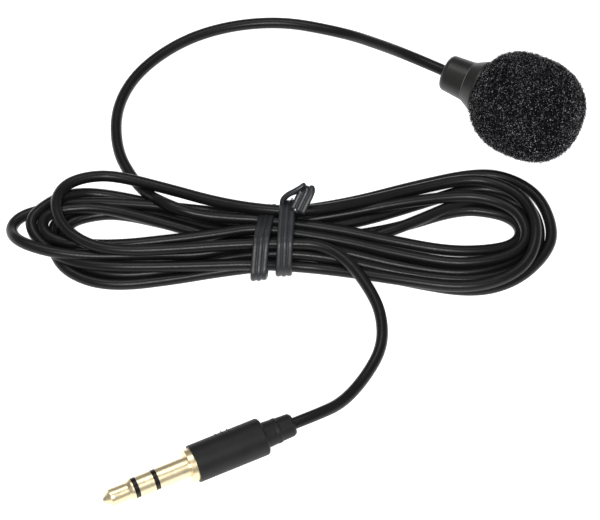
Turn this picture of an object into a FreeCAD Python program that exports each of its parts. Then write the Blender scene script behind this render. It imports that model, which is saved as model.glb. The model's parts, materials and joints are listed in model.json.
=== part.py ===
"""Lavalier microphone: foam-covered head, thin cable in a tied hank, and a 3.5 mm plug.

The frame: +X runs along the head from its cable end to the front of the foam, +Z is up, and
the origin is on the table under the middle of the head. Lengths are in millimetres.
"""
import FreeCAD, Part
import math
import os
import re
import Sketcher

doc = FreeCAD.newDocument("lavalier_microphone")
sheet = doc.addObject("Spreadsheet::Sheet", "Sizes")

SIZES = [
    # Head, measured along its axis from the middle of its length
    ("axis_height", "9.2", "head axis above the table: the foam ball lies on it"),
    ("head_rear", "-13.0", "end face where the cable comes out"),
    ("seam", "-8.5", "joint between the rear housing and the head shell"),
    ("rear_radius", "3.2", "rear housing at its end face"),
    ("seam_radius", "3.55", "both housings at the seam"),
    ("rear_rounding", "0.9", "rounding of the end face"),
    ("rear_wall", "1.0", "end wall that holds the cable crimp"),
    ("rear_bore", "2.2", "radius of the wire space in the rear housing"),
    ("spigot_radius", "2.75", "rear housing's plug-in end"),
    ("spigot_length", "1.6", "its length past the seam"),
    ("flare_end", "-6.4", "where the shell's collar reaches its full radius"),
    ("shell_radius", "4.65", "head shell under the foam"),
    ("shell_front", "1.2", "front lip of the head shell"),
    ("shell_gap", "0.2", "gap ahead of the spigot"),
    ("chamber_radius", "3.0", "wire space in the head shell"),
    ("boot_rear", "-4.0", "shoulder that the rubber boot sits on"),
    ("boot_radius", "3.75", "outside of the rubber boot"),
    ("boot_lip", "0.8", "thickness of its rear lip"),
    ("boot_opening", "2.2", "opening for the wires"),
    ("boot_length", "4.0", "boot, end to end"),
    ("grille_seat", "0.4", "shoulder that the grille sits on"),
    ("grille_radius", "4.1", "front grille"),
    ("grille_thickness", "0.3", ""),
    ("grille_hole", "0.3", "radius of each hole"),
    # Electret capsule, 6 mm across and 2.7 mm deep
    ("can_radius", "3.0", ""),
    ("can_front", "-0.5", "front face of the can"),
    ("can_depth", "2.7", ""),
    ("can_wall", "0.25", ""),
    ("can_hole", "0.5", "radius of the sound hole"),
    ("crimp_thickness", "0.15", "rolled rear edge of the can"),
    ("crimp_opening", "2.3", ""),
    ("felt_radius", "2.9", ""),
    ("felt_thickness", "0.3", ""),
    ("membrane_ring", "0.25", "thickness of the ring that holds the diaphragm"),
    ("membrane_opening", "2.2", ""),
    ("membrane_thickness", "0.05", ""),
    ("spacer_thickness", "0.1", ""),
    ("backplate_radius", "2.4", ""),
    ("backplate_thickness", "0.3", ""),
    ("backplate_hole", "0.2", "radius of each of its holes"),
    ("contact_outer", "2.1", "ring that carries the backplate to the board"),
    ("contact_inner", "1.8", ""),
    ("board_thickness", "0.5", ""),
    ("pad_offset", "1.2", "solder pads either side of the axis"),
    ("solder_radius", "0.6", ""),
    ("solder_height", "0.4", ""),
    ("fet_length", "1.6", ""),
    ("fet_width", "1.1", ""),
    ("fet_height", "0.55", ""),
    # Foam windscreen
    ("foam_radius", "9.2", ""),
    ("foam_front_centre", "3.8", "centre of the ball's front half"),
    ("foam_rear_centre", "1.4", "centre of its rear half"),
    ("foam_rim", "-6.2", "cut edge round the collar"),
    ("foam_bore", "4.75", "radius of the pocket that the shell fits"),
    ("foam_bore_end", "1.5", ""),
    # Cable
    ("cable_radius", "1.0", ""),
    ("cable_clearance", "0.05", "round the cable in the end wall"),
    ("crimp_radius", "2.0", "crimp ring on the cable in the head"),
    ("crimp_length", "1.8", ""),
    ("jacket_reach", "3.2", "cable jacket inside the head"),
    ("core_radius", "0.3", "insulated core"),
    # Hank, in its own frame: x along it, origin at the tie
    ("hank_x", "-23.1", ""),
    ("hank_y", "-41.8", ""),
    ("hank_heading", "29.0", "degrees from the head's axis"),
    ("hank_reach", "48.0", "from the tie to either end"),
    ("lobe_back", "15.1", "widest reach on the head's side"),
    ("lobe_front", "9.6", "widest reach on the plug's side"),
    ("waist_back", "6.0", ""),
    ("waist_front", "5.1", ""),
    ("hank_height", "5.4", ""),
    ("hank_corner", "3.0", "rounding of the lobes seen from above"),
    ("neck_lift", "0.7", "underside of the bundle in the tie"),
    ("neck_top", "5.4", ""),
    ("neck_bevel", "1.5", ""),
    # Twist tie: a flat ribbon round the neck, twice
    ("ribbon_width", "2.4", ""),
    ("ribbon_thickness", "0.7", ""),
    ("first_wrap", "-3.0", "middle of each wrap along the hank"),
    ("second_wrap", "1.0", ""),
    ("tail_shift", "2.8", "middle of the free end"),
    ("tie_wire", "0.3", "side of the wire's square section in the ribbon"),
    ("tie_end_radius", "0.2", "bare ends of the wire"),
    ("tie_end_length", "1.1", ""),
    # Plug, in its own frame: x towards the tip, origin on the front face of its flange
    ("plug_x", "-14.5", ""),
    ("plug_y", "-88.0", ""),
    ("plug_heading", "234.0", "degrees from the head's axis"),
    ("contact_radius", "1.75", "3.5 mm plug"),
    ("band_radius", "1.72", "insulating bands, just under flush"),
    ("sleeve_end", "5.5", ""),
    ("rear_band_end", "6.3", ""),
    ("ring_end", "9.0", ""),
    ("front_band_end", "9.8", ""),
    ("tip_end", "15.2", ""),
    ("tip_neck", "1.4", "radius of the groove behind the ball of the tip"),
    ("tip_ball", "1.45", ""),
    ("tip_point", "0.35", ""),
    ("rod_radius", "0.5", "tip contact's rod"),
    ("rod_tail", "-5.2", ""),
    ("tube_one", "0.8", "radii of the nested tubes behind the bands"),
    ("tube_one_tail", "-4.0", ""),
    ("tube_two", "1.05", ""),
    ("tube_two_tail", "-3.2", ""),
    ("tube_three", "1.3", ""),
    ("tube_three_tail", "-2.4", ""),
    ("sleeve_tail", "-1.8", ""),
    ("sleeve_tail_radius", "2.1", ""),
    ("flange_radius", "2.8", ""),
    ("flange_thickness", "1.0", ""),
    ("barrel_radius", "3.2", "also the height of the plug's axis"),
    ("barrel_rear", "-13.5", ""),
    ("barrel_rounding", "0.45", ""),
    ("mould_radius", "2.3", "inner mould round the contacts"),
    ("mould_rear", "-9.2", ""),
    ("relief_root", "-11.5", ""),
    ("relief_root_radius", "1.9", ""),
    ("relief_rear", "-18.8", ""),
    ("relief_radius", "2.12", ""),
    ("relief_band", "2.22", "raised band half way along the relief"),
    ("relief_end_radius", "1.95", ""),
    ("plug_jacket_end", "-9.0", ""),
    ("rib_height", "0.15", "grip ribs on the barrel"),
    ("rib_side", "70", "degrees from the top of the barrel to the middle of the ribs"),
    ("rib_width", "0.45", ""),
    ("rib_pitch", "1.05", ""),
    ("first_rib", "-6.3", ""),
]


def fill_sheet():
    """One row for each driving dimension: its name, its value and what it is."""
    for row, (alias, value, note) in enumerate(SIZES, start=1):
        sheet.set(f"A{row}", alias)
        sheet.set(f"B{row}", value)
        sheet.setAlias(f"B{row}", alias)
        sheet.set(f"C{row}", note)
    doc.recompute()


def size(text):
    """The value of an alias, or of a sum of aliases."""
    return float(sheet.evalExpression(text))


def bound(text):
    """The same text as an expression that other objects can hold."""
    return re.sub(r"[a-z][a-z_]*", lambda word: "Sizes." + word.group(), text)


fill_sheet()
subparts = []


def keep(thing, placement):
    """List a finished sub-part, at its place."""
    thing.Placement = placement
    subparts.append(thing)
    return thing


def at_head():
    return FreeCAD.Placement(FreeCAD.Vector(0, 0, size("axis_height")), FreeCAD.Rotation())


def turned_to(x, y, z, heading):
    spin = FreeCAD.Rotation(FreeCAD.Vector(0, 0, 1), size(heading))
    return FreeCAD.Placement(FreeCAD.Vector(size(x), size(y), z), spin)


def at_hank():
    return turned_to("hank_x", "hank_y", 0, "hank_heading")


def at_plug():
    return turned_to("plug_x", "plug_y", size("barrel_radius"), "plug_heading")


def in_row_frame():
    return FreeCAD.Placement()


# ---------------------------------------------------------------- sketches and turned pieces

def new_body(name):
    body = doc.addObject("PartDesign::Body", name)
    body.Label = name
    return body


def outline(body, name, corners, plane="XY_Plane", lift=None):
    """A closed sketch of straight edges; each corner's two places are bound to the sheet."""
    sketch = body.newObject("Sketcher::SketchObject", name)
    support = [item for item in body.Origin.OriginFeatures if item.Role == plane][0]
    sketch.AttachmentSupport = [(support, "")]
    sketch.MapMode = "FlatFace"
    if lift is not None:
        sketch.setExpression("AttachmentOffset.Base.z", bound(lift))
    points = [FreeCAD.Vector(size(x), size(y), 0) for x, y in corners]
    count = len(points)
    for index in range(count):
        edge = Part.LineSegment(points[index], points[(index + 1) % count])
        sketch.addGeometry(edge, False)
    for index in range(count):
        sketch.addConstraint(Sketcher.Constraint("Coincident", index, 2, (index + 1) % count, 1))
    for index, (x, y) in enumerate(corners):
        for kind, axis, text in (("DistanceX", -2, x), ("DistanceY", -1, y)):
            if text == "0":
                sketch.addConstraint(Sketcher.Constraint("PointOnObject", index, 1, axis))
                continue
            held = Sketcher.Constraint(kind, -1, 1, index, 1, size(text))
            number = sketch.addConstraint(held)
            sketch.setExpression(f"Constraints[{number}]", bound(text))
    return sketch


def turned(name, corners):
    """A body turned about its own x axis; corners are (place along the axis, radius)."""
    body = new_body(name)
    section = outline(body, name + "_section", corners)
    turn = body.newObject("PartDesign::Revolution", name + "_turn")
    turn.Profile = section
    turn.ReferenceAxis = (section, ["H_Axis"])
    turn.Angle = 360
    doc.recompute()
    return body


def rounded(body, radius, is_wanted):
    """Round the edges of the body's last feature that is_wanted picks."""
    base = body.Tip
    names = [f"Edge{number}" for number, edge in enumerate(base.Shape.Edges, start=1)
             if is_wanted(edge)]
    fillet = body.newObject("PartDesign::Fillet", body.Name + "_rounding")
    fillet.Base = (base, names)
    fillet.setExpression("Radius", bound(radius))
    doc.recompute()


def rim_at(place, radius):
    """Picks the circular edge at a place along x with a given radius."""
    def test(edge):
        if not isinstance(edge.Curve, Part.Circle):
            return False
        near = abs(edge.Curve.Center.x - size(place)) < 1e-4
        return near and abs(edge.Curve.Radius - size(radius)) < 1e-4
    return test


def cut_holes(body, name, start, depth, radius, centres):
    """Round holes along x through a turned piece, in rings about its axis.

    centres is a list of (ring radius, count): each ring is one hole and a polar pattern.
    """
    volume = body.Shape.Volume
    for ring, (ring_radius, count) in enumerate(centres):
        sketch = body.newObject("Sketcher::SketchObject", f"{name}_{ring}")
        support = [item for item in body.Origin.OriginFeatures if item.Role == "YZ_Plane"][0]
        sketch.AttachmentSupport = [(support, "")]
        sketch.MapMode = "FlatFace"
        sketch.setExpression("AttachmentOffset.Base.z", bound(start))
        centre = FreeCAD.Vector(ring_radius, 0, 0)
        sketch.addGeometry(Part.Circle(centre, FreeCAD.Vector(0, 0, 1), size(radius)), False)
        number = sketch.addConstraint(Sketcher.Constraint("Radius", 0, size(radius)))
        sketch.setExpression(f"Constraints[{number}]", bound(radius))
        sketch.addConstraint(Sketcher.Constraint("PointOnObject", 0, 3, -1))
        sketch.addConstraint(Sketcher.Constraint("DistanceX", -1, 1, 0, 3, ring_radius))
        pocket = body.newObject("PartDesign::Pocket", f"{name}_{ring}_cut")
        pocket.Profile = sketch
        pocket.setExpression("Length", bound(depth))
        pocket.Reversed = True
        doc.recompute()
        if count > 1:
            pattern = body.newObject("PartDesign::PolarPattern", f"{name}_{ring}_ring")
            pattern.Originals = [pocket]
            axis_line = [item for item in body.Origin.OriginFeatures if item.Role == "X_Axis"][0]
            pattern.Axis = (axis_line, [""])
            pattern.Angle = 360
            pattern.Occurrences = count
            body.Tip = pattern
            doc.recompute()
    removed = volume - body.Shape.Volume
    holes = sum(count for _, count in centres)
    expected = holes * math.pi * size(radius) ** 2 * size(depth)
    print(f"{name}: {holes} holes, removed {removed:.4f} of {expected:.4f} mm3")
    if abs(removed - expected) > 0.05 * expected:
        raise ValueError(name + " was not cut as drawn")


# ------------------------------------------------------------------------- tubes along a path

def bent_path(points):
    """Straight runs joined by tangent arcs, each as large as its two runs allow."""
    edges = []
    radii = []
    start = points[0]
    for before, corner, after in zip(points, points[1:], points[2:]):
        arriving = (corner - before).normalize()
        leaving = (after - corner).normalize()
        half_turn = arriving.getAngle(leaving) / 2
        setback = 0.45 * min((corner - before).Length, (after - corner).Length)
        radius = setback / math.tan(half_turn)
        inward = (leaving - arriving).normalize()
        first = corner - arriving * setback
        last = corner + leaving * setback
        middle = corner + inward * (radius / math.cos(half_turn) - radius)
        edges.append(Part.LineSegment(start, first).toShape())
        edges.append(Part.Arc(first, middle, last).toShape())
        radii.append(radius)
        start = last
    edges.append(Part.LineSegment(start, points[-1]).toShape())
    return Part.Wire(edges), radii


def tube(name, points, radius, placement):
    """A round cable or wire along a list of points."""
    path, radii = bent_path([FreeCAD.Vector(*point) for point in points])
    along = FreeCAD.Vector(*points[1]) - FreeCAD.Vector(*points[0])
    ring = Part.Wire([Part.makeCircle(radius, FreeCAD.Vector(*points[0]), along)])
    solid = path.makePipeShell([ring], True, False)
    section = math.pi * radius ** 2
    ratio = solid.Volume / (section * path.Length)
    print(f"{name}: length {path.Length:.1f}, volume ratio {ratio:.4f}, radii",
          " ".join(f"{value:.1f}" for value in radii))
    feature = doc.addObject("Part::Feature", name)
    feature.Label = name
    feature.Shape = solid
    return keep(feature, placement)


# ------------------------------------------------------------------------------ the mic's head

def rear_housing():
    body = turned("rear_housing", [
        ("head_rear", "cable_radius + cable_clearance"),
        ("head_rear", "rear_radius"),
        ("seam", "seam_radius"),
        ("seam", "spigot_radius"),
        ("seam + spigot_length", "spigot_radius"),
        ("seam + spigot_length", "rear_bore"),
        ("head_rear + rear_wall", "rear_bore"),
        ("head_rear + rear_wall", "cable_radius + cable_clearance"),
    ])
    rounded(body, "rear_rounding", rim_at("head_rear", "rear_radius"))
    keep(body, at_head())


def head_shell():
    body = turned("head_shell", [
        ("seam", "spigot_radius"),
        ("seam", "seam_radius"),
        ("flare_end", "shell_radius"),
        ("shell_front", "shell_radius"),
        ("shell_front", "grille_radius"),
        ("grille_seat", "grille_radius"),
        ("grille_seat", "boot_radius"),
        ("boot_rear", "boot_radius"),
        ("boot_rear", "chamber_radius"),
        ("seam + spigot_length + shell_gap", "chamber_radius"),
        ("seam + spigot_length + shell_gap", "spigot_radius"),
    ])
    keep(body, at_head())


def disc(name, start, thickness, radius):
    return turned(name, [
        (start, "0"),
        (start, radius),
        (f"{start} + {thickness}", radius),
        (f"{start} + {thickness}", "0"),
    ])


def washer(name, start, thickness, outer, inner):
    return turned(name, [
        (start, inner),
        (start, outer),
        (f"{start} + {thickness}", outer),
        (f"{start} + {thickness}", inner),
    ])


def front_grille():
    body = disc("front_grille", "grille_seat", "grille_thickness", "grille_radius")
    cut_holes(body, "grille_holes", "grille_seat", "grille_thickness", "grille_hole",
              [(1.0, 6), (2.0, 12), (3.0, 18)])
    keep(body, at_head())


def capsule_boot():
    body = turned("capsule_boot", [
        ("boot_rear", "boot_opening"),
        ("boot_rear", "boot_radius"),
        ("boot_rear + boot_length", "boot_radius"),
        ("boot_rear + boot_length", "can_radius"),
        ("boot_rear + boot_lip", "can_radius"),
        ("boot_rear + boot_lip", "boot_opening"),
    ])
    keep(body, at_head())


# Places in the capsule, front to back: each layer rests on the one before it
RING_BACK = "can_front - can_wall - membrane_ring"
MEMBRANE_BACK = RING_BACK + " - membrane_thickness"
SPACER_BACK = MEMBRANE_BACK + " - spacer_thickness"
PLATE_BACK = SPACER_BACK + " - backplate_thickness"
CAN_BACK = "can_front - can_depth"
BOARD_BACK = CAN_BACK + " + crimp_thickness"
BOARD_FRONT = BOARD_BACK + " + board_thickness"
INSIDE_CAN = "can_radius - can_wall"


def capsule_can():
    body = turned("capsule_can", [
        (CAN_BACK, "crimp_opening"),
        (CAN_BACK, "can_radius"),
        ("can_front", "can_radius"),
        ("can_front", "can_hole"),
        ("can_front - can_wall", "can_hole"),
        ("can_front - can_wall", INSIDE_CAN),
        (BOARD_BACK, INSIDE_CAN),
        (BOARD_BACK, "crimp_opening"),
    ])
    keep(body, at_head())


def plate_holder():
    """Insulating cup that centres the backplate and stands on the board."""
    body = turned("plate_holder", [
        (BOARD_FRONT, "contact_outer"),
        (BOARD_FRONT, INSIDE_CAN),
        (SPACER_BACK, INSIDE_CAN),
        (SPACER_BACK, "backplate_radius"),
        (PLATE_BACK, "backplate_radius"),
        (PLATE_BACK, "contact_outer"),
    ])
    keep(body, at_head())


def contact_ring():
    body = turned("contact_ring", [
        (BOARD_FRONT, "contact_inner"),
        (BOARD_FRONT, "contact_outer"),
        (PLATE_BACK, "contact_outer"),
        (PLATE_BACK, "contact_inner"),
    ])
    keep(body, at_head())


def capsule_layers():
    keep(disc("dust_felt", "can_front", "felt_thickness", "felt_radius"), at_head())
    keep(washer("diaphragm_ring", RING_BACK, "membrane_ring", INSIDE_CAN, "membrane_opening"),
         at_head())
    keep(disc("diaphragm", MEMBRANE_BACK, "membrane_thickness", INSIDE_CAN), at_head())
    keep(washer("diaphragm_spacer", SPACER_BACK, "spacer_thickness", INSIDE_CAN,
                "membrane_opening"), at_head())
    plate = disc("backplate", PLATE_BACK, "backplate_thickness", "backplate_radius")
    cut_holes(plate, "backplate_holes", PLATE_BACK, "backplate_thickness", "backplate_hole",
              [(1.3, 6)])
    keep(plate, at_head())
    keep(disc("capsule_board", BOARD_BACK, "board_thickness", INSIDE_CAN), at_head())


def capsule_fet():
    """Small amplifier transistor on the board, inside the contact ring."""
    body = new_body("capsule_fet")
    half_width = "fet_width / 2"
    half_length = "fet_length / 2"
    base = outline(body, "fet_base", [
        (f"0 - {half_width}", f"0 - {half_length}"),
        (half_width, f"0 - {half_length}"),
        (half_width, half_length),
        (f"0 - {half_width}", half_length),
    ], plane="YZ_Plane", lift=BOARD_FRONT)
    pad = body.newObject("PartDesign::Pad", "fet_pad")
    pad.Profile = base
    pad.setExpression("Length", bound("fet_height"))
    doc.recompute()
    keep(body, at_head())


def frustums(name, places, first_radius, last_radius, height, placement):
    """A group of solder cones pointing along -x, one solid each."""
    cones = []
    for number, (x, y) in enumerate(places):
        cone = doc.addObject("Part::Cone", f"{name}_{number}")
        cone.setExpression("Radius1", bound(first_radius))
        cone.setExpression("Radius2", bound(last_radius))
        cone.setExpression("Height", bound(height))
        cone.Placement = FreeCAD.Placement(
            FreeCAD.Vector(size(x), size(y), 0),
            FreeCAD.Rotation(FreeCAD.Vector(0, 1, 0), -90))
        cones.append(cone)
    group = doc.addObject("Part::Compound", name)
    group.Label = name
    group.Links = cones
    doc.recompute()
    return keep(group, placement)


def head_wiring():
    jacket_front = size("head_rear + jacket_reach")
    solder_back = size(BOARD_BACK) - size("solder_height")
    offset = size("pad_offset")
    core = size("core_radius")
    frustums("capsule_solder_joints", [(BOARD_BACK, "pad_offset"), (BOARD_BACK, "0 - pad_offset")],
             "solder_radius", "core_radius + 0.05", "solder_height", at_head())
    for name, side in (("mic_signal_wire", 1), ("mic_shield_wire", -1)):
        route = [
            (jacket_front, side * 0.5, 0),
            (jacket_front + 1.6, side * 0.5, 0),
            (solder_back - 1.8, side * offset, 0),
            (solder_back, side * offset, 0),
        ]
        tube(name, route, core, at_head())
    keep(washer("cable_crimp", "head_rear + rear_wall", "crimp_length", "crimp_radius",
                "cable_radius"), at_head())
    keep(disc("mic_jacket_end", "head_rear", "jacket_reach", "cable_radius"), at_head())


def foam_windscreen():
    """A ball a little longer than wide, with a pocket that the head shell fits."""
    halves = []
    for name, centre in (("foam_front", "foam_front_centre"), ("foam_rear", "foam_rear_centre")):
        ball = doc.addObject("Part::Sphere", name)
        ball.setExpression("Radius", "Sizes.foam_radius")
        ball.setExpression("Placement.Base.x", bound(centre))
        halves.append(ball)
    waist = doc.addObject("Part::Cylinder", "foam_waist")
    waist.Placement.Rotation = FreeCAD.Rotation(FreeCAD.Vector(0, 1, 0), 90)
    waist.setExpression("Radius", "Sizes.foam_radius")
    waist.setExpression("Height", bound("foam_front_centre - foam_rear_centre"))
    waist.setExpression("Placement.Base.x", "Sizes.foam_rear_centre")
    ball = doc.addObject("Part::MultiFuse", "foam_ball")
    ball.Shapes = halves + [waist]
    ball.Refine = True
    pocket = doc.addObject("Part::Cylinder", "foam_pocket")
    pocket.Placement.Rotation = FreeCAD.Rotation(FreeCAD.Vector(0, 1, 0), 90)
    pocket.setExpression("Radius", "Sizes.foam_bore")
    pocket.setExpression("Height", bound("foam_bore_end - head_rear"))
    pocket.setExpression("Placement.Base.x", "Sizes.head_rear")
    rim = doc.addObject("Part::Box", "foam_rim_trim")
    rim.setExpression("Length", bound("foam_rim - head_rear"))
    rim.setExpression("Width", bound("foam_radius * 2"))
    rim.setExpression("Height", bound("foam_radius * 2"))
    rim.setExpression("Placement.Base.x", "Sizes.head_rear")
    rim.setExpression("Placement.Base.y", bound("0 - foam_radius"))
    rim.setExpression("Placement.Base.z", bound("0 - foam_radius"))
    tools = doc.addObject("Part::MultiFuse", "foam_tools")
    tools.Shapes = [pocket, rim]
    foam = doc.addObject("Part::Cut", "foam_windscreen")
    foam.Label = "foam_windscreen"
    foam.Base = ball
    foam.Tool = tools
    doc.recompute()
    keep(foam, at_head())


# ---------------------------------------------------------------------------------- the cable

# Corners of the route from the head to the hank; it sinks to the table on the way
MIC_LEAD = [
    (-13.0, 0.0, 9.2),
    (-19.5, 0.0, 9.2),
    (-27.0, 2.2, 5.6),
    (-36.0, 4.3, 1.4),
    (-48.5, 1.0, 1.0),
    (-59.0, -8.0, 1.0),
    (-64.0, -19.5, 1.0),
    (-63.6, -29.5, 1.0),
    (-58.5, -38.0, 1.0),
    (-52.3, -42.4, 1.0),
]

# From the top of the hank down to the table and into the plug's strain relief
PLUG_LEAD = [
    (-11.0, -41.9, 4.0),
    (-5.7, -43.1, 3.9),
    (-0.9, -46.4, 2.7),
    (2.0, -51.4, 1.4),
    (2.2, -57.9, 1.0),
    (1.6, -64.4, 1.7),
]


def cable_leads():
    radius = size("cable_radius")
    tube("cable_mic_lead", MIC_LEAD, radius, in_row_frame())
    plug = at_plug()
    entry = plug.multVec(FreeCAD.Vector(size("relief_rear"), 0, 0))
    before = plug.multVec(FreeCAD.Vector(size("relief_rear") - 4.5, 0, 0))
    route = PLUG_LEAD + [tuple(before), tuple(entry)]
    tube("cable_plug_lead", route, radius, in_row_frame())


def hank_lobes():
    """The hank's outer shape seen from above: two lobes that meet at a waist."""
    body = new_body("hank_lobes")
    plan = outline(body, "hank_plan", [
        ("0 - hank_reach", "lobe_back * 0.2"),
        ("0 - hank_reach * 0.92", "lobe_back * 0.4"),
        ("0 - hank_reach * 0.76", "lobe_back * 0.92"),
        ("0 - hank_reach * 0.56", "lobe_back * 0.92"),
        ("0 - ribbon_width * 2", "waist_back"),
        ("ribbon_width * 2", "waist_back"),
        ("hank_reach * 0.6", "lobe_back"),
        ("hank_reach * 0.8", "lobe_back * 1.04"),
        ("hank_reach * 0.93", "lobe_back * 0.84"),
        ("hank_reach", "lobe_back * 0.3"),
        ("hank_reach * 0.88", "0 - lobe_front * 0.72"),
        ("hank_reach * 0.7", "0 - lobe_front * 1.04"),
        ("ribbon_width * 2", "0 - waist_front"),
        ("0 - ribbon_width * 2", "0 - waist_front"),
        ("0 - hank_reach * 0.56", "0 - lobe_front * 0.92"),
        ("0 - hank_reach * 0.75", "0 - lobe_front * 0.7"),
        ("0 - hank_reach * 0.95", "0 - lobe_front * 0.02"),
    ])
    pad = body.newObject("PartDesign::Pad", "hank_pad")
    pad.Profile = plan
    pad.setExpression("Length", "Sizes.hank_height")
    doc.recompute()

    def is_upright_end(edge):
        ends = [vertex.Point for vertex in edge.Vertexes]
        upright = len(ends) == 2 and abs(ends[0].z - ends[1].z) > 1
        return upright and abs(ends[0].x) > size("hank_reach * 0.5")

    rounded(body, "hank_corner", is_upright_end)
    return body


def neck_section(grow):
    """Corners of the bundle in the tie, or of the ribbon's outside when grown."""
    back = f"waist_back + {grow}"
    front = f"0 - waist_front - {grow}"
    low = f"neck_lift - {grow}"
    high = f"neck_top + {grow}"
    return [
        (f"{front} + neck_bevel", low),
        (f"{back} - neck_bevel", low),
        (back, f"{low} + neck_bevel"),
        (back, f"{high} - neck_bevel"),
        (f"{back} - neck_bevel", high),
        (f"{front} + neck_bevel", high),
        (front, f"{high} - neck_bevel"),
        (front, f"{low} + neck_bevel"),
    ]


def bar(name, section, start, length):
    """A straight bar along x with a section drawn across it."""
    body = new_body(name)
    face = outline(body, name + "_face", section, plane="YZ_Plane", lift=start)
    pad = body.newObject("PartDesign::Pad", name + "_pad")
    pad.Profile = face
    pad.setExpression("Length", bound(length))
    doc.recompute()
    return body


def fused(name, shapes):
    joined = doc.addObject("Part::MultiFuse", name)
    joined.Label = name
    joined.Shapes = shapes
    joined.Refine = True
    doc.recompute()
    return joined


def cut(name, base, tool):
    left = doc.addObject("Part::Cut", name)
    left.Label = name
    left.Base = base
    left.Tool = tool
    left.Refine = True
    doc.recompute()
    return left


def band(name, middle, width, inner, outer):
    """A closed ribbon or wire round the neck."""
    start = f"{middle} - {width} / 2"
    outside = bar(name + "_outside", neck_section(outer), start, width)
    inside = bar(name + "_inside", neck_section(inner), start, width)
    return cut(name, outside, inside)


def cable_hank():
    groove = "ribbon_width + second_wrap - first_wrap + 0.4"
    start = "first_wrap - ribbon_width / 2 - 0.2"
    blank = bar("neck_blank", neck_section("3"), start, groove)
    neck = bar("neck_core", neck_section("0"), start, groove)
    frame = cut("neck_frame", blank, neck)
    hank = cut("cable_hank", hank_lobes(), frame)
    keep(hank, at_hank())


TIE_WALL = "(ribbon_thickness - tie_wire) / 2"
TAIL_PLACES = [
    ("waist_back + ribbon_thickness", "neck_top / 2"),
    ("waist_back + 2.8", "neck_top - 1.0"),
    ("waist_back + 2.8", "neck_top + 0.4"),
    ("waist_back - 1.8", "neck_top + 1.8"),
    ("waist_back - 2.0", "neck_top + 1.1"),
    ("waist_back + 2.0", "neck_top - 0.1"),
    ("waist_back + 2.0", "neck_top - 0.6"),
    ("waist_back + ribbon_thickness", "neck_top / 2 + 0.8"),
]


def twist_tie():
    """A ribbon that goes twice round the neck, with one free end folded over the top."""
    loops = []
    cores = []
    for name, middle in (("first", "first_wrap"), ("second", "second_wrap")):
        loops.append(band(name + "_loop", middle, "ribbon_width", "0", "ribbon_thickness"))
        for use in ("tool", "core"):
            core = band(f"{name}_{use}", middle, "tie_wire", TIE_WALL, TIE_WALL + " + tie_wire")
            cores.append(core)
    bridge = bar("bridge", [
        ("waist_back - 3.5", "neck_top"),
        ("waist_back - neck_bevel", "neck_top"),
        ("waist_back - neck_bevel", "neck_top + ribbon_thickness"),
        ("waist_back - 3.5", "neck_top + ribbon_thickness"),
    ], "first_wrap", "second_wrap - first_wrap")
    tail = bar("tail", TAIL_PLACES, "tail_shift - ribbon_width / 2", "ribbon_width")
    whole = fused("ribbon_blank", loops + [bridge, tail])
    tools = fused("wire_channels", [cores[0], cores[2]])
    keep(cut("twist_tie_sleeve", whole, tools), at_hank())
    ends = []
    for number, shift in enumerate(("-0.45", "0.45")):
        end = doc.addObject("Part::Cylinder", f"tie_end_{number}")
        end.setExpression("Radius", "Sizes.tie_end_radius")
        end.setExpression("Height", "Sizes.tie_end_length")
        end.Placement = FreeCAD.Placement(
            FreeCAD.Vector(size(f"tail_shift + {shift}"), size("waist_back - 1.95"),
                           size("neck_top + 1.4")),
            FreeCAD.Rotation(FreeCAD.Vector(1, 0, 0), 90))
        ends.append(end)
    wire = doc.addObject("Part::Compound", "twist_tie_wire")
    wire.Label = "twist_tie_wire"
    wire.Links = [cores[1], cores[3]] + ends
    doc.recompute()
    keep(wire, at_hank())


# ----------------------------------------------------------------------------------- the plug

def plug_contacts():
    """Tip, ring and sleeve, with an insulator between each pair, nested like tubes."""
    tip = turned("plug_tip", [
        ("rod_tail", "0"),
        ("rod_tail", "rod_radius"),
        ("front_band_end", "rod_radius"),
        ("front_band_end", "band_radius"),
        ("front_band_end + 0.3", "band_radius"),
        ("front_band_end + 0.9", "tip_neck"),
        ("tip_end - 1.9", "tip_ball"),
        ("tip_end - 1.4", "tip_ball - 0.03"),
        ("tip_end - 0.2", "tip_point"),
        ("tip_end", "0"),
    ])
    keep(tip, at_plug())
    front = turned("plug_front_insulator", [
        ("tube_one_tail", "rod_radius"),
        ("tube_one_tail", "tube_one"),
        ("ring_end", "tube_one"),
        ("ring_end", "band_radius"),
        ("front_band_end", "band_radius"),
        ("front_band_end", "rod_radius"),
    ])
    keep(front, at_plug())
    ring = turned("plug_ring", [
        ("tube_two_tail", "tube_one"),
        ("tube_two_tail", "tube_two"),
        ("rear_band_end", "tube_two"),
        ("rear_band_end", "contact_radius"),
        ("ring_end", "contact_radius"),
        ("ring_end", "tube_one"),
    ])
    keep(ring, at_plug())
    rear = turned("plug_rear_insulator", [
        ("tube_three_tail", "tube_two"),
        ("tube_three_tail", "tube_three"),
        ("sleeve_end", "tube_three"),
        ("sleeve_end", "band_radius"),
        ("rear_band_end", "band_radius"),
        ("rear_band_end", "tube_two"),
    ])
    keep(rear, at_plug())
    sleeve = turned("plug_sleeve", [
        ("sleeve_tail", "tube_three"),
        ("sleeve_tail", "sleeve_tail_radius"),
        ("0 - flange_thickness", "sleeve_tail_radius"),
        ("0 - flange_thickness", "flange_radius"),
        ("0", "flange_radius"),
        ("0", "contact_radius"),
        ("sleeve_end", "contact_radius"),
        ("sleeve_end", "tube_three"),
    ])
    keep(sleeve, at_plug())


SHIELD_OFFSET = "(sleeve_tail_radius + tube_three) / 2"


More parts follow.
